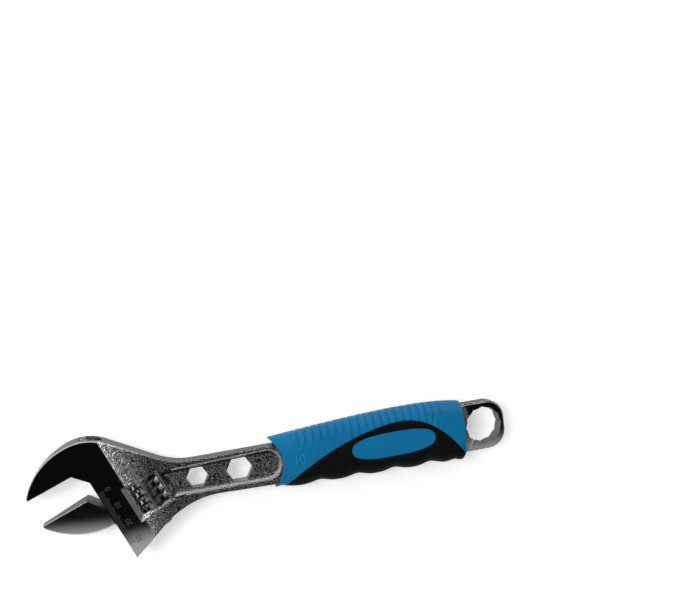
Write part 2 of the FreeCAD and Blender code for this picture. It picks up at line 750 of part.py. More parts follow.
def build_movable_jaw():
    body = new_body("movable_jaw")
    outline = new_sketch(body, "jaw_outline")
    jaw_outline(outline)
    extrude(body, "Pad", "jaw", outline, size("head_thickness"), both_ways=True)
    doc.recompute()
    relief = new_sketch(body, "jaw_relief", "XZ_Plane")
    taper_relief(relief)
    thinned = cut(body, "jaw_taper", relief, both_ways=True)
    nose = size("jaw_nose_drop").value
    heel = size("heel_drop").value
    belly_start = -size("belly_reach").value

    def is_belly(edge, middle):
        along = abs(edge.Vertexes[0].X - edge.Vertexes[-1].X) > 0.5
        beyond = middle.y < -heel or (middle.x < belly_start and middle.y < -nose)
        return along and beyond and on_taper(middle.x, middle.z)

    bevel = chamfer(body, "belly_chamfer", thinned, is_belly, size("belly_bevel"))
    chamfer(body, "clamp_chamfer", bevel,
            lambda edge, middle: abs(middle.y) < 1e-6 and on_taper(middle.x, middle.z),
            size("clamp_bevel"))

    neck = new_sketch(body, "neck_outline")
    neck_start = -size("slide_clearance") * 2
    add_outline(neck, [
        (neck_start, -size("neck_top")),
        (size("rack_axis"), -size("neck_top")),
        (size("rack_axis"), -size("jaw_depth")),
        (neck_start, -size("jaw_depth")),
    ])
    extrude(body, "Pad", "neck", neck, size("neck_thickness"), both_ways=True)

    rack = new_sketch(body, "rack_outline", "XZ_Plane", (ZERO, ZERO, -size("rack_top")))
    add_circle(rack, size("rack_axis"), ZERO, size("rack_diameter"))
    extrude(body, "Pad", "rack", rack, size("rack_top") + size("rack_bottom"))
    tail = new_sketch(body, "tail_outline", "XZ_Plane", (ZERO, ZERO, -size("rack_top")))
    add_circle(tail, size("rack_axis"), ZERO, size("tail_diameter"))
    tail_pad = extrude(body, "Pad", "tail", tail, size("tail_length"), reverse=True)
    doc.recompute()
    rack_top = size("rack_top").value
    tail_end = rack_top + size("tail_length").value
    radii = {rack_top: size("rack_diameter").value / 2, tail_end: size("tail_diameter").value / 2}

    def is_rack_end(edge, middle):
        from_axis = math.hypot(middle.x - size("rack_axis").value, middle.z)
        return any(abs(middle.y - height) < 1e-6 and abs(from_axis - radius) < 1e-6
                   for height, radius in radii.items())

    chamfer(body, "rack_ends", tail_pad, is_rack_end, size("rack_chamfer"))
    cut_rack_teeth(body)
    throat_x, throat_y = from_jaw(ZERO, -size("jaw_opening"))
    place(body, throat_x, throat_y, ZERO, turned=True)
    return body


# ---------------------------------------------------------------- worm, pin and spring

def thread_start():
    """Where the thread's middle crosses the worm's +X side, one pitch below its lower end."""
    return -worm_length() / 2 - size("thread_pitch")


def worm_length():
    return size("window_length") - size("worm_play") * 2


def add_cylinder(body, name, diameter, bottom, length, kind="Pad"):
    """A round boss or hole along the worm's axis, which is the body's Y axis."""
    sketch = new_sketch(body, f"{name}_outline", "XZ_Plane", (ZERO, ZERO, -bottom))
    add_circle(sketch, ZERO, ZERO, diameter)
    feature = extrude(body, kind, name, sketch, length, reverse=kind == "Pad")
    if kind == "Pocket":
        check_cut(body, feature)
    return feature


def build_worm():
    """The knurled worm. Its origin is the middle of its axis."""
    body = new_body("worm")
    half = worm_length() / 2
    pitch = size("thread_pitch")
    root = size("worm_root") / 2
    crest = size("worm_diameter") / 2
    sunk = root - 0.4
    flank = (size("thread_base") - size("thread_crest")) / 2 / (crest - root)
    half_sunk = size("thread_base") / 2 + flank * 0.4
    start = thread_start()
    half_crest = size("thread_crest") / 2

    core = new_sketch(body, "core_outline", "XZ_Plane")
    add_circle(core, ZERO, ZERO, size("worm_root"))
    extrude(body, "Pad", "core", core, worm_length(), both_ways=True)
    profile = new_sketch(body, "thread_profile")
    add_outline(profile, [(sunk, start - half_sunk), (crest, start - half_crest),
                          (crest, start + half_crest), (sunk, start + half_sunk)])
    thread = body.newObject("PartDesign::AdditiveHelix", "thread")
    thread.Profile = profile
    thread.ReferenceAxis = (profile, ["V_Axis"])
    thread.Mode = "pitch-height-angle"
    bind(thread, "Pitch", pitch)
    bind(thread, "Height", worm_length() + pitch * 2)
    doc.recompute()

    for name, side in (("upper", 1), ("lower", -1)):
        trim = new_sketch(body, f"{name}_trim_outline", "XZ_Plane", (ZERO, ZERO, -half * side))
        add_circle(trim, ZERO, ZERO, size("worm_diameter") * 2)
        cut(body, f"{name}_trim", trim, reverse=side < 0)
    knurl_worm(body, crest)

    bore = new_sketch(body, "bore_outline", "XZ_Plane")
    add_circle(bore, ZERO, ZERO, size("pin_diameter") + size("pin_clearance") * 2)
    cut(body, "bore", bore, both_ways=True)
    pocket = new_sketch(body, "spring_pocket_outline", "XZ_Plane", (ZERO, ZERO, -half))
    add_circle(pocket, ZERO, ZERO, size("spring_pocket"))
    cut(body, "spring_pocket", pocket, length=size("spring_pocket_depth"), reverse=True)
    place_on_worm_axis(body)
    return body


def knurl_worm(body, crest):
    """Shallow notches along the axis, all round the thread's crest."""
    depth = size("knurl_depth")
    notch = new_sketch(body, "knurl_notch", "XZ_Plane")
    add_outline(notch, [(crest - depth, ZERO), (crest + depth, -depth * 2),
                        (crest + depth, depth * 2)])
    first = cut(body, "knurl_first", notch, both_ways=True)
    knurl = body.newObject("PartDesign::PolarPattern", "knurl")
    knurl.Originals = [first]
    knurl.Axis = (notch, ["N_Axis"])
    knurl.Angle = 360
    knurl.Occurrences = KNURL_COUNT
    body.Tip = knurl
    check_cut(body, knurl)


def place_on_worm_axis(body):
    axis_x, axis_y = from_jaw(worm_reach(), worm_middle())
    place(body, axis_x, axis_y, ZERO, turned=True)


def build_worm_pin():
    """Plain axle pressed in from the ear's underside, with a slotted head."""
    body = new_body("worm_pin")
    half_window = size("window_length") / 2
    shoulder = -half_window - size("pin_head_seat")
    head_end = shoulder - size("pin_head_length")
    add_cylinder(body, "shaft", size("pin_diameter"), shoulder,
                 half_window + size("pin_anchor") - shoulder)
    add_cylinder(body, "head", size("pin_head_diameter"), head_end, size("pin_head_length"))
    slot = new_sketch(body, "slot_outline", "XZ_Plane", (ZERO, ZERO, -head_end))
    wide = size("pin_head_diameter")
    half_slot = size("pin_slot_width") / 2
    add_outline(slot, [(-wide, -half_slot), (wide, -half_slot), (wide, half_slot),
                       (-wide, half_slot)])
    cut(body, "slot", slot, length=size("pin_slot_depth"))
    place_on_worm_axis(body)
    return body


def build_worm_spring():
    """Small coil in the worm's counterbore, which holds the worm down in its window."""
    body = new_body("worm_spring")
    wire = size("spring_wire")
    seat = worm_length() / 2 - size("spring_pocket_depth") + size("spring_gap")
    free = size("window_length") / 2 - size("spring_gap") - seat
    profile = new_sketch(body, "wire_section")
    add_circle(profile, size("spring_diameter") / 2, seat + wire / 2, wire)
    coil = body.newObject("PartDesign::AdditiveHelix", "coil")
    coil.Profile = profile
    coil.ReferenceAxis = (profile, ["V_Axis"])
    coil.Mode = "pitch-height-angle"
    bind(coil, "Pitch", (free - wire) / size("spring_turns"))
    bind(coil, "Height", free - wire)
    place_on_worm_axis(body)
    return body


# ---------------------------------------------------------------- grip

def grip_section(x, inset, groove=0.0):
    """One closed cross-section of the grip, squarer than an ellipse, and grooved on its top."""
    start = -size("grip_start").value
    end = -size("grip_end").value
    along = (x - start) / (end - start)
    widest = (-size("lens_peak").value - start) / (end - start)
    middle_top = size("grip_top_middle").value
    if along < widest:
        drop = (middle_top - size("grip_top_start").value) * ((widest - along) / widest) ** 1.5
    else:
        beyond = (along - widest) / (1 - widest)
        drop = (middle_top - size("grip_top_end").value) * beyond ** 3
    top = middle_top - drop - inset
    valley = size("grip_bottom_start").value * (1 - along) + size("grip_bottom_end").value * along
    turn = math.pi * (x + size("scallop_phase").value) / size("scallop_pitch").value
    bump = size("scallop_height").value * abs(math.cos(turn))
    bottom = -valley - bump + inset
    thin = 1 - GRIP_END_THINNING * (2 * along - 1) ** 4
    half_thickness = size("grip_thickness").value / 2 * thin - inset
    centre = (top + bottom) / 2
    half_width = (top - bottom) / 2
    points = []
    for index in range(SECTION_POINTS):
        turn = 2 * math.pi * index / SECTION_POINTS
        y = centre + half_width * rounded(math.cos(turn))
        z = half_thickness * rounded(math.sin(turn))
        sunk = groove if y > size("groove_low").value else 0.0
        points.append(FreeCAD.Vector(x, y - sunk * math.cos(turn), z - sunk * math.sin(turn)))
    curve = Part.BSplineCurve()
    curve.interpolate(points, PeriodicFlag=True)
    return Part.Wire([curve.toShape()])


def rounded(value):
    return math.copysign(abs(value) ** (2 / SQUARENESS), value)


def grip_body(inset):
    """The whole grip as one smooth solid, shrunk by an inset."""
    step = size("scallop_pitch").value / SECTIONS_PER_SCALLOP
    places = evenly(step)
    return Part.makeLoft([grip_section(x, inset) for x in places], True)


def evenly(step):
    """Places along the grip from its front to its back end, at most a step apart."""
    first = -size("grip_start").value
    last = -size("grip_end").value
    count = math.ceil((last - first) / step)
    return [first + (last - first) * index / count for index in range(count + 1)]


def ribbed_body():
    """The whole grip with cross grooves on its spine side, in short straight runs."""
    half = size("groove_width").value / 2
    outside = half + size("groove_slope").value
    depth = size("groove_depth").value
    middles = [-size("groove_first").value - size("groove_pitch").value * index
               for index in range(GROOVE_COUNT)]
    sections = [(x, 0.0) for x in evenly(RIB_STEP)
                if all(abs(x - middle) > outside + RIB_STEP / 4 for middle in middles)]
    for middle in middles:
        sections += [(middle - outside, 0.0), (middle - half, depth),
                     (middle + half, depth), (middle + outside, 0.0)]
    sections.sort()
    return Part.makeLoft([grip_section(x, 0, groove) for x, groove in sections], True, True)


def grip_mouth():
    """What the grip's hollow front edge is cut with, from above."""
    radius = size("grip_mouth_round").value
    deepest = size("grip_mouth_depth").value - size("grip_start").value
    tall = size("grip_thickness").value * 2
    return Part.makeCylinder(radius, tall, FreeCAD.Vector(deepest - radius, 0, -tall / 2))


def prism(wire, height):
    """A flat outline stretched both ways through the grip."""
    face = Part.Face(wire)
    face.translate(FreeCAD.Vector(0, 0, -height / 2))
    return face.extrude(FreeCAD.Vector(0, 0, height))


def bezier(*points):
    curve = Part.BezierCurve()
    curve.setPoles([FreeCAD.Vector(x, y, 0) for x, y in points])
    return curve.toShape()


def lens_prism():
    """Where the overmould lies: under an arch that rises from the grip's two lower corners."""
    front = (-size("lens_front").value, -size("lens_low").value)
    back = (-size("lens_back").value, -size("lens_low").value)
    peak = (-size("lens_peak").value, size("lens_height").value)
    rise = peak[1] - front[1]
    front_arch = bezier(front, (front[0] + rise * 0.96, front[1] + rise * 0.7),
                        (peak[0] - rise * 0.71, peak[1]), peak)
    back_arch = bezier(peak, (peak[0] + rise * 0.58, peak[1]),
                       (back[0] - rise * 0.39, back[1] + rise * 0.6), back)
    below = -2 * size("grip_thickness").value
    corners = [back, (0, back[1]), (0, below), (-size("grip_start").value - 5, below),
               (-size("grip_start").value - 5, front[1]), front]
    sides = Part.makePolygon([FreeCAD.Vector(x, y, 0) for x, y in corners]).Edges
    wire = Part.Wire(Part.sortEdges([front_arch, back_arch] + sides)[0])
    return prism(wire, 2 * size("grip_thickness").value)


def oval_prism():
    """The badge panel's blunt oval."""
    centre = -size("oval_from_ring").value
    points = []
    for index in range(SECTION_POINTS):
        turn = 2 * math.pi * index / SECTION_POINTS
        points.append(FreeCAD.Vector(
            centre + size("oval_length").value / 2 * rounded(math.cos(turn)),
            size("oval_width").value / 2 * rounded(math.sin(turn)), 0))
    curve = Part.BSplineCurve()
    curve.interpolate(points, PeriodicFlag=True)
    return prism(Part.Wire([curve.toShape()]), 2 * size("grip_thickness").value)


def build_grip(frame):
    """The hard sleeve, hollow for the frame's tang, and the soft overmould let into it."""
    mouth = grip_mouth()
    core = grip_body(size("skin_thickness").value).cut(mouth)
    skin = grip_body(0).cut(mouth).cut(core)
    lens = lens_prism()
    oval = oval_prism()
    tang = frame.Shape.copy()
    tang.Placement = FreeCAD.Placement()
    ribs = ribbed_body().cut(mouth).cut(lens)
    sleeve = core.fuse([ribs, skin.common(oval)]).cut(tang)
    overmould = skin.common(lens).cut(oval).cut(tang)
    parts = []
    for label, shape in (("grip_sleeve", sleeve), ("grip_overmould", overmould)):
        part = doc.addObject("Part::Feature", label)
        part.Shape = largest_solid(shape)
        part.Label = label
        place(part, ZERO, ZERO, ZERO)
        parts.append(part)
    return parts


def largest_solid(shape):
    return max(shape.Solids, key=lambda solid: solid.Volume)


# ---------------------------------------------------------------- build, check and export

frame = build_frame()
doc.recompute()
movable_jaw = build_movable_jaw()
worm = build_worm()
worm_pin = build_worm_pin()
worm_spring = build_worm_spring()
grip_sleeve, grip_overmould = build_grip(frame)
doc.recompute()

for item in doc.Objects:
    if "Invalid" in item.State or "Error" in item.State:
        raise RuntimeError(f"{item.Label} failed: {item.getStatusString()}")

os.makedirs("parts", exist_ok=True)
for part in (frame, movable_jaw, worm, worm_pin, worm_spring, grip_sleeve, grip_overmould):
    if part.Shape.isNull() or not part.Shape.isValid():
        raise RuntimeError(f"{part.Label} has no valid shape")
    part.Shape.exportStep(f"parts/{part.Label}.step")
    print(part.Label, len(part.Shape.Solids), round(part.Shape.Volume, 1))
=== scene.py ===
import math

import bpy
from mathutils import Euler, Matrix, Vector


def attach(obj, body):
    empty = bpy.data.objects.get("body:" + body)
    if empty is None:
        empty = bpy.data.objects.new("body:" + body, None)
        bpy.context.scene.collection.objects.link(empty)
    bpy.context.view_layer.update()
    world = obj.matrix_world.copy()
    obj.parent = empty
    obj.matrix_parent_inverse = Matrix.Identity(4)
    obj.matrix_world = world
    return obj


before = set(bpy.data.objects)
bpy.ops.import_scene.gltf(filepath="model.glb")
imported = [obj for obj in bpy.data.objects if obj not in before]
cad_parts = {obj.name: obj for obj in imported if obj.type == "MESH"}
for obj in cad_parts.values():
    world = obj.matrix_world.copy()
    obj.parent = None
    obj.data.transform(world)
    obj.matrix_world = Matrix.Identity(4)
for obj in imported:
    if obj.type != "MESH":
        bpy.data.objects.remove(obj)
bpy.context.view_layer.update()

bl_info = {
    "name": "Adjustable wrench",
    "version": (1, 0, 0),
    "blender": (4, 2, 0),
    "location": "View3D > Sidebar > Wrench",
    "description": "Finishes, etched scale and studio for a 10 inch adjustable wrench",
    "category": "Object",
}

MM = 0.001

# The jaw frame: "reach" runs along the clamping faces towards the handle and "rise" runs across
# them towards the fixed jaw, both from the throat of the fixed jaw.
JAW_ANGLE = math.radians(22.5)
THROAT = Vector((-97.95, 16.88, 8.9)) * MM
FACE_HEIGHT = 16.1 * MM  # top of the ground head faces
JAW_REACH = 30.1 * MM
TAPER_DROP = 4.4 * MM  # a jaw's face falls this much from its root to its tip
HOLES_Y = 2.38 * MM  # the hexagons and the ring lie on this line along the wrench
HOLES_HALF_WIDTH = 9.3 * MM  # from that line, with room for either hexagon
HEXAGONS_X = 20.0 * MM  # middle of the stretch along the wrench that counts as the hexagons'
HEXAGONS_HALF_LENGTH = 69.0 * MM

# Where the steel was ground. The ring's border is ragged, and comes sooner beside its hole.
POLISHED_WIDTH = 12.9 * MM  # reach of the band beside the jaws' sliding edge
RING_POLISH = 105.0 * MM  # along the wrench, beyond this the ring is polished too
RING_FADE = 3.0 * MM
RING_RAGGED = 6.0 * MM
RING_ROUNDING = 0.5

# How much of a surface's normal lies along Z tells a face, a bevel and a side apart. Edges and
# walls are the bevels within a tolerance of theirs.
FLAT = 0.998
FACE = 0.93
EDGE, EDGE_TOLERANCE = 0.77, 0.14
WALL, WALL_TOLERANCE = 0.62, 0.05
SIDE = 0.57

# Levels are above the middle of the thickness.
RIM_LEVEL = 4.7 * MM  # raised rim of the shank's recess
RIM_TOLERANCE = 0.15 * MM
# walls above WALL_BRIGHT are painted in the chrome's colour as a painted highlight
WALL_DULL = 3.5 * MM  # up to this level tumbling leaves a wall dull
WALL_BRIGHT = 4.3 * MM

# The forged skin is coarsest, and painted palest as a painted highlight, at the first of these
# reaches, and finest, and painted darkest as painted shade, at the second.
COARSE_LIT_SKIN = 11.5 * MM
FINE_SHADED_SKIN = 31.0 * MM
SKIN_LEAN = -0.15  # how much of the rise is added to the reach

# Width of one grain or streak of each pattern.
RING_PATCH = 6.25 * MM
TOOL_MARK = MM / 0.9
SPARK_GRAIN = MM / 2.2  # of the sleeve's mould
SLEEVE_CLOUD = MM / 0.045
BLAST_GRAIN = MM / 1.5  # of the overmould's mould
OVERMOULD_CLOUD = MM / 0.06
ETCHING_SPECK = MM / 3
PAPER_FIBRE = 2.5 * MM

# Second tones, sRGB hex. The main colours are in WrenchFinishes, the floor's in StudioSettings.
# the rim's pale tone is a painted highlight
RIM_HIGHLIGHT_TONE = "DEDDDA"
# painted light: the skin's tones are pale at the head as a painted highlight and dark down the
# shank as painted shade
LIT_HEAD_SKIN, LIT_HEAD_PITS = "FDFCFA", "8A8987"
SHADED_SHANK_SKIN, SHADED_SHANK_PITS = "A5A4A1", "282928"
TOOL_MARK_TONE = "4F4D49"
SLEEVE_TONE = "036A98"
# the size mark's lighter blue is a painted highlight
MARK_HIGHLIGHT_TONE = "1680B0"
OVERMOULD_TONE = "050506"
ETCHING_TONE = "2E2A25"
FIBRE_TONE = "F0F0EE"

SCALE_START = 0.4 * MM  # reach of the ticks' ends by the jaws' sliding edge
POINTER_REACH = -1.7 * MM
POINTER_RISE = -28.4 * MM
POINTER_RADIUS = 1.3 * MM
ETCH_DEPTH = 0.06 * MM
FONT_CAP_HEIGHT = 0.7  # height of a digit in a font of size 1
MARK_START = 25.0 * MM  # height from which the size mark is laid down on the sleeve
SLEEVE_CLEAR = 20.0 * MM  # a size mark that is still above this missed the sleeve

FLOOR_SIZE = 6.0
FLOOR_GLOW = 0.45
CAMERA_PLACE = Vector((-55.12, 116.22, 445.30)) * MM
CAMERA_TURN = Euler((-0.04515, -0.24008, -0.12584))


def from_jaw(reach, rise, height):
    """A point given in the jaw frame, as a point of the model."""
    turned = Matrix.Rotation(JAW_ANGLE, 2) @ Vector((reach, rise))
    return Vector((THROAT.x + turned.x, THROAT.y + turned.y, height))


# ---------------------------------------------------------------- sizes and colours

class WrenchFinishes(bpy.types.PropertyGroup):
    """Colours and surface values of the wrench's finishes."""
    chrome: bpy.props.StringProperty(
        name="Chrome", description="Plated steel, sRGB hex", default="B9B8B4")
    # the sides' colour is darker than the chrome as painted shade
    forged_side: bpy.props.StringProperty(
        name="Forged sides", description="Plated edges of the forging, sRGB hex",
        default="807F7D")
    machined_steel: bpy.props.StringProperty(
        name="Machined steel", description="Worm, pin and spring, sRGB hex", default="B4B2AE")
    sleeve_blue: bpy.props.StringProperty(
        name="Sleeve", description="Hard blue grip sleeve, sRGB hex", default="0476AA")
    # the raised size mark's lighter blue, a painted highlight
    handled_blue: bpy.props.StringProperty(
        name="Handled sleeve", description="Sleeve where hands have rubbed it, sRGB hex",
        default="1E8CC4")
    overmould_black: bpy.props.StringProperty(
        name="Overmould", description="Soft black grip, sRGB hex", default="08090A")
    etching: bpy.props.StringProperty(
        name="Etching", description="Etched scale, sRGB hex", default="4A443C")
    forged_grain: bpy.props.FloatProperty(
        name="Forged grain", description="Grain size of the plated forged skin",
        default=0.56 * MM, subtype="DISTANCE", unit="LENGTH")
    polish: bpy.props.FloatProperty(
        name="Polish", description="Roughness of the ground and polished faces",
        default=0.035, subtype="FACTOR")


class ScaleSizes(bpy.types.PropertyGroup):
    """Sizes of the etched millimetre scale."""
    divisions: bpy.props.IntProperty(
        name="Divisions", description="Millimetres on the scale", default=30)
    tick_length: bpy.props.FloatProperty(
        name="Tick", description="Length of a millimetre tick",
        default=2.6 * MM, subtype="DISTANCE", unit="LENGTH")
    long_tick: bpy.props.FloatProperty(
        name="Long tick", description="Length of every fifth tick",
        default=3.4 * MM, subtype="DISTANCE", unit="LENGTH")
    line_width: bpy.props.FloatProperty(
        name="Line", description="Width of an etched line",
        default=0.3 * MM, subtype="DISTANCE", unit="LENGTH")
    digit_height: bpy.props.FloatProperty(
        name="Digits", description="Height of the scale's numbers",
        default=2.6 * MM, subtype="DISTANCE", unit="LENGTH")
    first_rise: bpy.props.FloatProperty(
        name="Zero", description="Rise of the zero tick in the jaw frame",
        default=-14.2 * MM, subtype="DISTANCE", unit="LENGTH")


class SizeMark(bpy.types.PropertyGroup):
    """The raised number on the sleeve that tells the wrench's size."""
    inches: bpy.props.IntProperty(
        name="Size", description="Nominal length in inches", default=10)
    height: bpy.props.FloatProperty(
        name="Height", description="Height of the number",
        default=4.6 * MM, subtype="DISTANCE", unit="LENGTH")
    relief: bpy.props.FloatProperty(
        name="Relief", description="How far the number stands off the sleeve",
        default=0.15 * MM, subtype="DISTANCE", unit="LENGTH")
    from_middle: bpy.props.FloatProperty(
        name="Along", description="Along the wrench, from its middle",
        default=9.1 * MM, subtype="DISTANCE", unit="LENGTH")
    from_axis: bpy.props.FloatProperty(
        name="Across", description="Across the wrench, from its middle",
        default=2.9 * MM, subtype="DISTANCE", unit="LENGTH")


class StudioSettings(bpy.types.PropertyGroup):
    """Lights, floor and camera."""
    floor_colour: bpy.props.StringProperty(
        name="Floor", description="Floor, sRGB hex", default="F2F2F0")
    key_power: bpy.props.FloatProperty(
        name="Key", description="Power of the large soft light", default=4.0, unit="POWER")
    fill_power: bpy.props.FloatProperty(
        name="Fill", description="Power of the fill light", default=2.0, unit="POWER")
    lens: bpy.props.FloatProperty(
        name="Lens", description="Focal length", default=43.47, unit="CAMERA")


# ---------------------------------------------------------------- helpers

def linear(code, alpha=1.0):
    """An sRGB hex colour as the linear values that a shader wants."""
    def channel(value):
        return value / 12.92 if value <= 0.04045 else ((value + 0.055) / 1.055) ** 2.4
    return [channel(int(code[i:i + 2], 16) / 255) for i in (0, 2, 4)] + [alpha]


def add_node(tree, kind, inputs=(), **settings):
    """One node with its settings. inputs pairs a socket with a value or another node's output."""
    node = tree.nodes.new(kind)
    for name, value in settings.items():
        setattr(node, name, value)
    for socket, value in inputs:
        if isinstance(value, bpy.types.NodeSocket):
            tree.links.new(value, node.inputs[socket])
        else:
            node.inputs[socket].default_value = value
    return node


def new_material(name):
    """An empty node material, and its tree to fill."""
    material = bpy.data.materials.new(name)
    material.use_nodes = True
    material.node_tree.nodes.clear()
    return material, material.node_tree


def finish_material(tree, shader):
    """Give the material its output, with this shader as its surface."""
    add_node(tree, "ShaderNodeOutputMaterial", [("Surface", shader.outputs[0])])


def paint(item, material):
    """Give a CAD node or a piece one material."""
    if not item.material_slots:
        item.data.materials.append(material)
    for slot in item.material_slots:
        slot.material = material


def apply_modifiers(item):
    """Make a piece's modifiers part of its mesh."""
    bpy.context.view_layer.objects.active = item
    for modifier in list(item.modifiers):
        bpy.ops.object.modifier_apply(modifier=modifier.name)


def place_in_mesh():
    """Move the active object's place into its mesh, and put the object at the origin."""
    bpy.ops.object.transform_apply(location=True, rotation=True, scale=True)


def deselect():
    """Leave nothing for the next operator to act on by mistake."""
    bpy.ops.object.select_all(action="DESELECT")


def join(items, name):
    """Make one piece of several."""
    deselect()
    for item in items:
        item.select_set(True)
    bpy.context.view_layer.objects.active = items[0]
    bpy.ops.object.join()
    items[0].name = name
    return items[0]


# ---------------------------------------------------------------- materials

def plated_steel(finishes):
    """Forged chrome-vanadium steel, nickel-chrome plated. The band along the jaws' sliding edge
    and the outer part of the ring's faces were ground and polished first, so they mirror the
    room. Sloping bevels are tumbled smooth; the upper walls take the chrome's colour and the
    raised rims a pale tone, both a painted highlight. The hexagons are cut bright, and the other
    sides are painted darker as painted shade. The rest keeps the forging's grain, coarse by the
    jaws and fine down the shank, painted pale by the jaws as a painted highlight and dark down the
    shank as painted shade."""
    material, tree = new_material("forged_steel_chrome_plated")
    place = add_node(tree, "ShaderNodeTexCoord")
    from_throat = add_node(tree, "ShaderNodeMapping", [
        ("Vector", place.outputs["Object"]), ("Location", -THROAT)])
    jaw_place = add_node(tree, "ShaderNodeMapping", [
        ("Vector", from_throat.outputs["Vector"]), ("Rotation", (0.0, 0.0, -JAW_ANGLE))])
    jaw_axes = add_node(tree, "ShaderNodeSeparateXYZ", [("Vector", jaw_place.outputs["Vector"])])
    wrench_axes = add_node(tree, "ShaderNodeSeparateXYZ", [("Vector", place.outputs["Object"])])
    normal = add_node(tree, "ShaderNodeSeparateXYZ", [("Vector", place.outputs["Normal"])])
    facing = add_node(tree, "ShaderNodeMath", [(0, normal.outputs["Z"])], operation="ABSOLUTE")

    # forging scale under the plating: a pebbled skin, drawn as coarse as it needs to show
    grain = add_node(tree, "ShaderNodeTexNoise", [
        ("Vector", place.outputs["Object"]), ("Scale", 1 / finishes.forged_grain),
        ("Detail", 1.0)])
    patches = add_node(tree, "ShaderNodeTexNoise", [
        ("Vector", place.outputs["Object"]), ("Scale", 1 / RING_PATCH), ("Detail", 3.0)])

    # faces: ground in the band by the jaws' sliding edge and round the ring's hole
    on_face = add_node(tree, "ShaderNodeMath", [
        (0, facing.outputs[0]), (1, FACE)], operation="GREATER_THAN")
    in_band = add_node(tree, "ShaderNodeMath", [
        (0, jaw_axes.outputs["X"]), (1, POLISHED_WIDTH)], operation="LESS_THAN")
    from_axis = add_node(tree, "ShaderNodeMath", [
        (0, wrench_axes.outputs["Y"]), (1, HOLES_Y)], operation="SUBTRACT")
    outward = add_node(tree, "ShaderNodeMath", [
        (0, from_axis.outputs[0])], operation="ABSOLUTE")
    round_hole = add_node(tree, "ShaderNodeMath", [
        (0, outward.outputs[0]), (1, RING_ROUNDING), (2, wrench_axes.outputs["X"])],
        operation="MULTIPLY_ADD")
    ring_edge = add_node(tree, "ShaderNodeMath", [
        (0, patches.outputs[0]), (1, -RING_RAGGED), (2, round_hole.outputs[0])],
        operation="MULTIPLY_ADD")
    on_ring = add_node(tree, "ShaderNodeMapRange", [
        ("Value", ring_edge.outputs[0]), ("From Min", RING_POLISH - RING_FADE),
        ("From Max", RING_POLISH + RING_FADE)])
    in_either = add_node(tree, "ShaderNodeMath", [
        (0, in_band.outputs[0]), (1, on_ring.outputs[0])], operation="MAXIMUM")
    ground = add_node(tree, "ShaderNodeMath", [
        (0, on_face.outputs[0]), (1, in_either.outputs[0])], operation="MULTIPLY")

    # bevels: the recess's and window's walls, tumbled smooth, which above a given level take the
    # chrome's colour as a painted highlight, and the narrow ones beside the jaws' ground faces
    level = add_node(tree, "ShaderNodeMath", [(0, jaw_axes.outputs["Z"])], operation="ABSOLUTE")
    burnished_and_highlit = add_node(tree, "ShaderNodeMapRange", [
        ("Value", level.outputs[0]), ("From Min", WALL_DULL), ("From Max", WALL_BRIGHT)])
    slope = add_node(tree, "ShaderNodeMath", [
        (0, facing.outputs[0]), (1, WALL), (2, WALL_TOLERANCE)], operation="COMPARE")
    wall = add_node(tree, "ShaderNodeMath", [
        (0, slope.outputs[0]), (1, burnished_and_highlit.outputs[0])], operation="MULTIPLY")
    edge = add_node(tree, "ShaderNodeMath", [
        (0, facing.outputs[0]), (1, EDGE), (2, EDGE_TOLERANCE)], operation="COMPARE")
    ground_edge = add_node(tree, "ShaderNodeMath", [
        (0, edge.outputs[0]), (1, in_band.outputs[0])], operation="MULTIPLY")
    sloping = add_node(tree, "ShaderNodeMath", [
        (0, wall.outputs[0]), (1, ground_edge.outputs[0])], operation="MAXIMUM")

    # the raised rim round the recess, smoother and painted a pale tone as a painted highlight
    at_rim = add_node(tree, "ShaderNodeMath", [
        (0, level.outputs[0]), (1, RIM_LEVEL), (2, RIM_TOLERANCE)], operation="COMPARE")
    flat = add_node(tree, "ShaderNodeMath", [
        (0, facing.outputs[0]), (1, FLAT)], operation="GREATER_THAN")
    rim = add_node(tree, "ShaderNodeMath", [
        (0, at_rim.outputs[0]), (1, flat.outputs[0])], operation="MULTIPLY")

    # upright sides: painted darker outside and in the ring as painted shade; the broached hexagons
    # keep the chrome's colour
    side = add_node(tree, "ShaderNodeMath", [
        (0, facing.outputs[0]), (1, SIDE)], operation="LESS_THAN")
    near_axis = add_node(tree, "ShaderNodeMath", [
        (0, wrench_axes.outputs["Y"]), (1, HOLES_Y), (2, HOLES_HALF_WIDTH)],
        operation="COMPARE")
    near_hexagons = add_node(tree, "ShaderNodeMath", [
        (0, wrench_axes.outputs["X"]), (1, HEXAGONS_X), (2, HEXAGONS_HALF_LENGTH)],
        operation="COMPARE")
    broached = add_node(tree, "ShaderNodeMath", [
        (0, near_axis.outputs[0]), (1, near_hexagons.outputs[0])], operation="MULTIPLY")
    side_colour = add_node(tree, "ShaderNodeMix", [
        (0, broached.outputs[0]), (6, linear(finishes.forged_side)),
        (7, linear(finishes.chrome))], data_type="RGBA")

    # the dies leave the coarsest skin beside the ground faces, most of all at the head's top;
    # the skin is painted pale there as a painted highlight and dark down the shank as painted
    # shade, and the grain's pits are painted darker still as painted shade
    from_top = add_node(tree, "ShaderNodeMath", [
        (0, jaw_axes.outputs["Y"]), (1, SKIN_LEAN), (2, jaw_axes.outputs["X"])],
        operation="MULTIPLY_ADD")
    coarse_lit_to_fine_shaded = add_node(tree, "ShaderNodeMapRange", [
        ("Value", from_top.outputs[0]), ("From Min", COARSE_LIT_SKIN), ("From Max", FINE_SHADED_SKIN)])
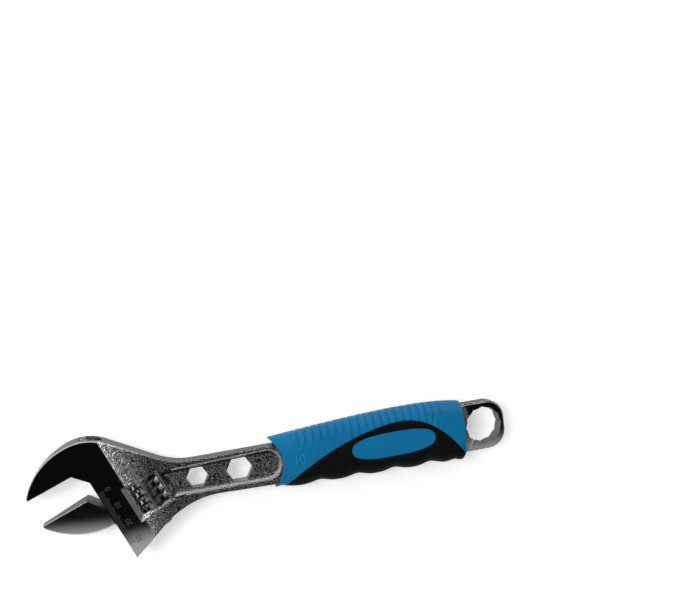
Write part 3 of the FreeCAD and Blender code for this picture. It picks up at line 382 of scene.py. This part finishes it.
    # the grain is real, but its pits are painted darker than the skin as painted shade in the
    # grain's hollows
    pit_shade = add_node(tree, "ShaderNodeMapRange", [
        ("Value", grain.outputs[0]), ("From Min", 0.45), ("From Max", 0.55)])
    lit_head_skin = add_node(tree, "ShaderNodeMix", [
        (0, pit_shade.outputs[0]), (6, linear(LIT_HEAD_PITS)), (7, linear(LIT_HEAD_SKIN))],
        data_type="RGBA")
    shaded_shank_skin = add_node(tree, "ShaderNodeMix", [
        (0, pit_shade.outputs[0]), (6, linear(SHADED_SHANK_PITS)), (7, linear(SHADED_SHANK_SKIN))],
        data_type="RGBA")
    skin = add_node(tree, "ShaderNodeMix", [
        (0, coarse_lit_to_fine_shaded.outputs[0]), (6, lit_head_skin.outputs[2]), (7, shaded_shank_skin.outputs[2])],
        data_type="RGBA")
    sides = add_node(tree, "ShaderNodeMix", [
        (0, side.outputs[0]), (6, skin.outputs[2]), (7, side_colour.outputs[2])],
        data_type="RGBA")
    rim_highlight = add_node(tree, "ShaderNodeMix", [
        (0, rim.outputs[0]), (6, sides.outputs[2]), (7, linear(RIM_HIGHLIGHT_TONE))],
        data_type="RGBA")
    # ground faces keep the chrome's own colour; the walls above a level take it as a painted
    # highlight
    bright = add_node(tree, "ShaderNodeMath", [
        (0, ground.outputs[0]), (1, sloping.outputs[0])], operation="MAXIMUM")
    colour = add_node(tree, "ShaderNodeMix", [
        (0, bright.outputs[0]), (6, rim_highlight.outputs[2]), (7, linear(finishes.chrome))],
        data_type="RGBA")

    unground = add_node(tree, "ShaderNodeMapRange", [
        ("Value", sloping.outputs[0]), ("To Min", 0.24), ("To Max", 0.22)])
    rough = add_node(tree, "ShaderNodeMix", [
        (0, ground.outputs[0]), (2, unground.outputs[0]), (3, finishes.polish)],
        data_type="FLOAT")
    # the grain stands up less where the plating was tumbled, and not at all where it was ground
    tumbled = add_node(tree, "ShaderNodeMapRange", [
        ("Value", sloping.outputs[0]), ("To Min", 1.0), ("To Max", 0.35)])
    unpolished = add_node(tree, "ShaderNodeMapRange", [
        ("Value", ground.outputs[0]), ("To Min", 1.0), ("To Max", 0.0)])
    grain_left = add_node(tree, "ShaderNodeMath", [
        (0, tumbled.outputs[0]), (1, unpolished.outputs[0])], operation="MULTIPLY")
    height = add_node(tree, "ShaderNodeMath", [
        (0, grain.outputs[0]), (1, grain_left.outputs[0])], operation="MULTIPLY")
    relief = add_node(tree, "ShaderNodeMapRange", [
        ("Value", coarse_lit_to_fine_shaded.outputs[0]), ("To Min", 0.75), ("To Max", 0.27)])
    bump = add_node(tree, "ShaderNodeBump", [
        ("Height", height.outputs[0]), ("Strength", relief.outputs[0]), ("Distance", 0.5 * MM)])
    shader = add_node(tree, "ShaderNodeBsdfPrincipled", [
        ("Base Color", colour.outputs[2]), ("Metallic", 1.0),
        ("Roughness", rough.outputs[0]), ("Specular Tint", (0.45, 0.45, 0.45, 1.0)),
        ("Normal", bump.outputs[0])])
    finish_material(tree, shader)
    return material


def machined_steel(finishes):
    """Turned and hobbed steel with a thin dark plating, for the worm, its pin and spring."""
    material, tree = new_material("turned_steel")
    place = add_node(tree, "ShaderNodeTexCoord")
    marks = add_node(tree, "ShaderNodeTexNoise", [
        ("Vector", place.outputs["Object"]), ("Scale", 1 / TOOL_MARK), ("Detail", 5.0)])
    colour = add_node(tree, "ShaderNodeMix", [
        (0, marks.outputs[0]), (6, linear(TOOL_MARK_TONE)), (7, linear(finishes.machined_steel))],
        data_type="RGBA")
    rough = add_node(tree, "ShaderNodeMapRange", [
        ("Value", marks.outputs[0]), ("To Min", 0.18), ("To Max", 0.38)])
    bump = add_node(tree, "ShaderNodeBump", [
        ("Height", marks.outputs[0]), ("Strength", 0.2), ("Distance", 0.1 * MM)])
    shader = add_node(tree, "ShaderNodeBsdfPrincipled", [
        ("Base Color", colour.outputs[2]), ("Metallic", 1.0),
        ("Roughness", rough.outputs[0]), ("Normal", bump.outputs[0])])
    finish_material(tree, shader)
    return material


def moulded_polypropylene(name, low, high):
    """Injection-moulded polypropylene with a fine spark-eroded texture, for the blue sleeve. Its
    colour drifts a little between low and high, sRGB hex."""
    material, tree = new_material(name)
    place = add_node(tree, "ShaderNodeTexCoord")
    texture = add_node(tree, "ShaderNodeTexNoise", [
        ("Vector", place.outputs["Object"]), ("Scale", 1 / SPARK_GRAIN), ("Detail", 3.0)])
    drift = add_node(tree, "ShaderNodeTexNoise", [
        ("Vector", place.outputs["Object"]), ("Scale", 1 / SLEEVE_CLOUD), ("Detail", 2.0)])
    colour = add_node(tree, "ShaderNodeMix", [
        (0, drift.outputs[0]), (6, linear(low)), (7, linear(high))], data_type="RGBA")
    rough = add_node(tree, "ShaderNodeMapRange", [
        ("Value", drift.outputs[0]), ("To Min", 0.4), ("To Max", 0.52)])
    bump = add_node(tree, "ShaderNodeBump", [
        ("Height", texture.outputs[0]), ("Strength", 0.25), ("Distance", 0.08 * MM)])
    shader = add_node(tree, "ShaderNodeBsdfPrincipled", [
        ("Base Color", colour.outputs[2]), ("Roughness", rough.outputs[0]), ("IOR", 1.49),
        ("Specular IOR Level", 0.2), ("Normal", bump.outputs[0])])
    finish_material(tree, shader)
    return material


def soft_elastomer(finishes):
    """Thermoplastic elastomer, matt from a sand-blasted mould, for the black overmould."""
    material, tree = new_material("moulded_elastomer")
    place = add_node(tree, "ShaderNodeTexCoord")
    texture = add_node(tree, "ShaderNodeTexNoise", [
        ("Vector", place.outputs["Object"]), ("Scale", 1 / BLAST_GRAIN), ("Detail", 4.0)])
    drift = add_node(tree, "ShaderNodeTexNoise", [
        ("Vector", place.outputs["Object"]), ("Scale", 1 / OVERMOULD_CLOUD), ("Detail", 3.0)])
    colour = add_node(tree, "ShaderNodeMix", [
        (0, drift.outputs[0]), (6, linear(OVERMOULD_TONE)), (7, linear(finishes.overmould_black))],
        data_type="RGBA")
    rough = add_node(tree, "ShaderNodeMapRange", [
        ("Value", drift.outputs[0]), ("To Min", 0.55), ("To Max", 0.7)])
    bump = add_node(tree, "ShaderNodeBump", [
        ("Height", texture.outputs[0]), ("Strength", 0.3), ("Distance", 0.1 * MM)])
    shader = add_node(tree, "ShaderNodeBsdfPrincipled", [
        ("Base Color", colour.outputs[2]), ("Roughness", rough.outputs[0]), ("IOR", 1.5),
        ("Specular IOR Level", 0.1), ("Normal", bump.outputs[0])])
    finish_material(tree, shader)
    return material


def laser_etching(finishes):
    """Laser-etched oxide, matt and brownish against the mirror round it."""
    material, tree = new_material("laser_etched_oxide")
    place = add_node(tree, "ShaderNodeTexCoord")
    speckle = add_node(tree, "ShaderNodeTexNoise", [
        ("Vector", place.outputs["Object"]), ("Scale", 1 / ETCHING_SPECK), ("Detail", 2.0)])
    colour = add_node(tree, "ShaderNodeMix", [
        (0, speckle.outputs[0]), (6, linear(ETCHING_TONE)), (7, linear(finishes.etching))],
        data_type="RGBA")
    shader = add_node(tree, "ShaderNodeBsdfPrincipled", [
        ("Base Color", colour.outputs[2]), ("Roughness", 0.8)])
    finish_material(tree, shader)
    return material


def floor_paper(studio):
    """Matt pale studio paper. Sight lines see it a little brighter than it is lit, so that it
    comes out white away from the wrench and keeps the wrench's shadow."""
    material, tree = new_material("studio_paper")
    place = add_node(tree, "ShaderNodeTexCoord")
    fibre = add_node(tree, "ShaderNodeTexNoise", [
        ("Vector", place.outputs["Object"]), ("Scale", 1 / PAPER_FIBRE), ("Detail", 2.0)])
    colour = add_node(tree, "ShaderNodeMix", [
        (0, fibre.outputs[0]), (6, linear(FIBRE_TONE)), (7, linear(studio.floor_colour))],
        data_type="RGBA")
    path = add_node(tree, "ShaderNodeLightPath")
    sight = add_node(tree, "ShaderNodeMath", [
        (0, path.outputs["Is Camera Ray"]), (1, path.outputs["Is Glossy Ray"])],
        operation="MAXIMUM")
    seen = add_node(tree, "ShaderNodeMath", [
        (0, sight.outputs[0]), (1, path.outputs["Is Transmission Ray"])], operation="MAXIMUM")
    glow = add_node(tree, "ShaderNodeMath", [
        (0, seen.outputs[0]), (1, FLOOR_GLOW)], operation="MULTIPLY")
    shader = add_node(tree, "ShaderNodeBsdfPrincipled", [
        ("Base Color", colour.outputs[2]), ("Roughness", 0.9),
        ("Emission Color", (1, 1, 1, 1)), ("Emission Strength", glow.outputs[0])])
    finish_material(tree, shader)
    return material


# ---------------------------------------------------------------- pieces

class WRENCH_OT_dress_steel(bpy.types.Operator):
    """Finish the plated forgings and the turned steel parts"""
    bl_idname = "wrench.dress_steel"
    bl_label = "Dress steel parts"

    def execute(self, context):
        finishes = context.scene.wrench_finishes
        plated = plated_steel(finishes)
        for name in ("frame", "movable_jaw"):
            paint(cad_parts[name], plated)
        turned = machined_steel(finishes)
        for name in ("worm", "worm_pin", "worm_spring"):
            paint(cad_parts[name], turned)
        return {"FINISHED"}


class WRENCH_OT_dress_grip(bpy.types.Operator):
    """Finish the blue sleeve and the black overmould"""
    bl_idname = "wrench.dress_grip"
    bl_label = "Dress grip"

    def execute(self, context):
        finishes = context.scene.wrench_finishes
        paint(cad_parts["grip_sleeve"], moulded_polypropylene(
            "moulded_polypropylene", SLEEVE_TONE, finishes.sleeve_blue))
        paint(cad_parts["grip_overmould"], soft_elastomer(finishes))
        return {"FINISHED"}


def etched_bar(reach, rise, length, width):
    """A thin bar sunk in the head's face, along the reach."""
    deselect()
    middle = from_jaw(reach + length / 2, rise, FACE_HEIGHT)
    bpy.ops.mesh.primitive_cube_add(
        size=1, location=middle, rotation=(0, 0, JAW_ANGLE), scale=(length, width, ETCH_DEPTH))
    place_in_mesh()
    return bpy.context.object


def repeat_down(item, count, step):
    """Copy a bar along the sliding edge, away from the fixed jaw."""
    array = item.modifiers.new("divisions", "ARRAY")
    array.count = count
    array.use_relative_offset = False
    array.use_constant_offset = True
    array.constant_offset_displace = from_jaw(0, -step, 0) - from_jaw(0, 0, 0)
    apply_modifiers(item)


def flat_number(number, height, place, turn=0.0, curve_steps=6, thickness=0.0):
    """A number as a mesh, lying flat and centred on a place."""
    deselect()
    bpy.ops.object.text_add(location=place, rotation=(0, 0, turn))
    text = bpy.context.object.data
    text.body = str(number)
    text.align_x = "CENTER"
    text.align_y = "CENTER"
    text.size = height / FONT_CAP_HEIGHT
    text.extrude = thickness / 2
    text.resolution_u = curve_steps
    bpy.ops.object.convert(target="MESH")
    place_in_mesh()
    return bpy.context.object


class WRENCH_OT_scale(bpy.types.Operator):
    """Etch the millimetre scale beside the sliding edge and the pointer on the movable jaw"""
    bl_idname = "wrench.scale"
    bl_label = "Etch scale"

    def execute(self, context):
        sizes = context.scene.wrench_scale
        etched = laser_etching(context.scene.wrench_finishes)
        fives = sizes.divisions // 5
        long_ticks = etched_bar(
            SCALE_START, sizes.first_rise, sizes.long_tick, sizes.line_width)
        repeat_down(long_ticks, fives + 1, 5 * MM)
        ticks = etched_bar(
            SCALE_START, sizes.first_rise - MM, sizes.tick_length, sizes.line_width)
        repeat_down(ticks, 4, MM)
        repeat_down(ticks, fives, 5 * MM)
        # the numbers read up along the sliding edge, clear of the long ticks
        numbers_reach = SCALE_START + sizes.long_tick + sizes.digit_height * 0.75
        numbers = [
            flat_number(
                value, sizes.digit_height,
                from_jaw(numbers_reach, sizes.first_rise - value * MM, FACE_HEIGHT),
                turn=JAW_ANGLE + math.pi / 2, curve_steps=4, thickness=ETCH_DEPTH)
            for value in range(0, sizes.divisions + 1, 10)]
        scale = join([ticks, long_ticks] + numbers, "etched_scale")
        paint(scale, etched)
        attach(scale, "body")

        slope = math.atan2(TAPER_DROP, JAW_REACH)
        turn = (Matrix.Rotation(JAW_ANGLE, 3, "Z") @ Matrix.Rotation(-slope, 3, "Y")
                @ Matrix.Rotation(-math.pi / 2, 3, "Z"))
        height = FACE_HEIGHT + POINTER_REACH * TAPER_DROP / JAW_REACH
        deselect()
        bpy.ops.mesh.primitive_cylinder_add(
            vertices=3, radius=POINTER_RADIUS, depth=ETCH_DEPTH, rotation=turn.to_euler(),
            location=from_jaw(POINTER_REACH, POINTER_RISE, height))
        pointer = context.object
        pointer.name = "etched_pointer"
        place_in_mesh()
        paint(pointer, etched)
        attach(pointer, "jaw")
        return {"FINISHED"}


class WRENCH_OT_size_mark(bpy.types.Operator):
    """Raise the wrench's size in inches on the front of the sleeve"""
    bl_idname = "wrench.size_mark"
    bl_label = "Raise size mark"

    def execute(self, context):
        sizes = context.scene.wrench_mark
        mark = flat_number(
            sizes.inches, sizes.height, (sizes.from_middle, sizes.from_axis, MARK_START))
        mark.name = "size_mark"
        bpy.ops.object.mode_set(mode="EDIT")
        bpy.ops.mesh.select_all(action="SELECT")
        bpy.ops.mesh.remove_doubles(threshold=0.01 * MM)
        bpy.ops.mesh.subdivide(number_cuts=2)
        bpy.ops.object.mode_set(mode="OBJECT")
        laid = mark.modifiers.new("laid_on_sleeve", "SHRINKWRAP")
        laid.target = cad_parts["grip_sleeve"]
        laid.wrap_method = "PROJECT"
        laid.use_project_z = True
        laid.use_positive_direction = False
        laid.use_negative_direction = True
        thick = mark.modifiers.new("thickness", "SOLIDIFY")
        thick.thickness = 2 * sizes.relief
        thick.offset = 0.0
        apply_modifiers(mark)
        heights = [corner.co.z for corner in mark.data.vertices]
        if not mark.data.polygons or max(heights) > SLEEVE_CLEAR:
            raise RuntimeError("the size mark didn't reach the sleeve")
        # the raised number is painted a lighter blue than the sleeve as a painted highlight
        paint(mark, moulded_polypropylene(
            "highlit_polypropylene", MARK_HIGHLIGHT_TONE, context.scene.wrench_finishes.handled_blue))
        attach(mark, "body")
        return {"FINISHED"}


class WRENCH_OT_studio(bpy.types.Operator):
    """Set up the floor, the lights, the room that the chrome mirrors, and the camera"""
    bl_idname = "wrench.studio"
    bl_label = "Build studio"

    def execute(self, context):
        studio = context.scene.wrench_studio
        deselect()
        bpy.ops.mesh.primitive_plane_add(size=FLOOR_SIZE, location=(0, 0, 0))
        floor = context.object
        floor.name = "studio_floor"
        paint(floor, floor_paper(studio))
        self.add_light(context, "key_light", (-0.5, 0.25, 0.75), 0.35, studio.key_power)
        self.add_light(context, "fill_light", (0.6, 0.7, 0.6), 0.5, studio.fill_power)
        self.add_world(context)
        self.add_camera(context, studio)
        return {"FINISHED"}

    def add_light(self, context, name, place, size, power):
        """A square soft light, aimed at the wrench."""
        deselect()
        aim = -Vector(place)
        bpy.ops.object.light_add(
            type="AREA", location=place, rotation=aim.to_track_quat("-Z", "Y").to_euler())
        lamp = context.object
        lamp.name = name
        lamp.data.size = size
        lamp.data.energy = power

    def add_world(self, context):
        """The room that the chrome mirrors: a dark ceiling above pale walls."""
        world = bpy.data.worlds.new("studio_room")
        context.scene.world = world
        world.use_nodes = True
        tree = world.node_tree
        tree.nodes.clear()
        place = add_node(tree, "ShaderNodeTexCoord")
        axes = add_node(tree, "ShaderNodeSeparateXYZ", [("Vector", place.outputs["Generated"])])
        # where a line of sight meets a ceiling one unit up, dark but for its near side
        across = add_node(tree, "ShaderNodeMath", [
            (0, axes.outputs["X"]), (1, axes.outputs["Z"])], operation="DIVIDE")
        along = add_node(tree, "ShaderNodeMath", [
            (0, axes.outputs["Y"]), (1, axes.outputs["Z"])], operation="DIVIDE")
        near_border = add_node(tree, "ShaderNodeMapRange", [
            ("Value", across.outputs[0]), ("From Min", -0.37), ("From Max", -0.06),
            ("To Min", -0.448), ("To Max", -0.317)])
        far_border = add_node(tree, "ShaderNodeMapRange", [
            ("Value", across.outputs[0]), ("From Min", -0.06), ("From Max", 0.4),
            ("To Min", 0.0), ("To Max", 0.034)])
        border = add_node(tree, "ShaderNodeMath", [
            (0, near_border.outputs[0]), (1, far_border.outputs[0])], operation="ADD")
        inside = add_node(tree, "ShaderNodeMath", [
            (0, along.outputs[0]), (1, border.outputs[0])], operation="SUBTRACT")
        ceiling = add_node(tree, "ShaderNodeMapRange", [
            ("Value", inside.outputs[0]), ("From Min", -0.012), ("From Max", 0.008),
            ("To Min", 0.66), ("To Max", 0.0065)])
        # the walls are bright at the left and behind the spine, and dim past the ring
        facing = add_node(tree, "ShaderNodeMath", [
            (0, axes.outputs["X"]), (1, -0.9), (2, 0.25)], operation="MULTIPLY_ADD")
        lit = add_node(tree, "ShaderNodeMath", [
            (0, axes.outputs["Y"]), (1, 0.6), (2, facing.outputs[0])],
            operation="MULTIPLY_ADD")
        wall = add_node(tree, "ShaderNodeMapRange", [
            ("Value", lit.outputs[0]), ("From Min", -0.6), ("From Max", 0.8),
            ("To Min", 0.12), ("To Max", 1.0)])
        # the paper curves up a little way where it meets the walls
        paper = add_node(tree, "ShaderNodeMapRange", [
            ("Value", axes.outputs["Z"]), ("From Min", 0.03), ("From Max", 0.12)])
        low = add_node(tree, "ShaderNodeMix", [
            (0, paper.outputs[0]), (2, 1.0), (3, wall.outputs[0])], data_type="FLOAT")
        high = add_node(tree, "ShaderNodeMapRange", [
            ("Value", axes.outputs["Z"]), ("From Min", 0.62), ("From Max", 0.78)])
        light = add_node(tree, "ShaderNodeMix", [
            (0, high.outputs[0]), (2, low.outputs[0]), (3, ceiling.outputs[0])],
            data_type="FLOAT")
        room = add_node(tree, "ShaderNodeBackground", [("Color", light.outputs[0])])
        add_node(tree, "ShaderNodeOutputWorld", [("Surface", room.outputs[0])])

    def add_camera(self, context, studio):
        """The camera that the scene is seen through."""
        deselect()
        bpy.ops.object.camera_add(location=CAMERA_PLACE, rotation=CAMERA_TURN)
        camera = context.object
        camera.name = "catalogue_camera"
        camera.data.lens = studio.lens
        camera.data.sensor_width = 36.0
        camera.data.clip_start = 10 * MM
        context.scene.camera = camera


class WRENCH_PT_panel(bpy.types.Panel):
    """Lists the wrench's pieces and studio"""
    bl_label = "Adjustable wrench"
    bl_space_type = "VIEW_3D"
    bl_region_type = "UI"
    bl_category = "Wrench"

    def draw(self, context):
        layout = self.layout
        for operator in OPERATORS:
            layout.operator(operator.bl_idname)
        for group in GROUPS:
            values = getattr(context.scene, group)
            box = layout.box()
            for name in values.__annotations__:
                box.prop(values, name)


GROUPS = {
    "wrench_finishes": WrenchFinishes,
    "wrench_scale": ScaleSizes,
    "wrench_mark": SizeMark,
    "wrench_studio": StudioSettings,
}
OPERATORS = (
    WRENCH_OT_dress_steel,
    WRENCH_OT_dress_grip,
    WRENCH_OT_scale,
    WRENCH_OT_size_mark,
    WRENCH_OT_studio,
)


def register():
    for item in (*GROUPS.values(), *OPERATORS, WRENCH_PT_panel):
        bpy.utils.register_class(item)
    for name, group in GROUPS.items():
        setattr(bpy.types.Scene, name, bpy.props.PointerProperty(type=group))


def unregister():
    for name in GROUPS:
        delattr(bpy.types.Scene, name)
    for item in (WRENCH_PT_panel, *reversed(OPERATORS), *reversed(GROUPS.values())):
        bpy.utils.unregister_class(item)


def main():
    register()
    bpy.context.scene.view_settings.view_transform = "Standard"
    bpy.ops.wrench.dress_steel()
    bpy.ops.wrench.dress_grip()
    bpy.ops.wrench.scale()
    bpy.ops.wrench.size_mark()
    bpy.ops.wrench.studio()


if __name__ == "__main__":
    main()
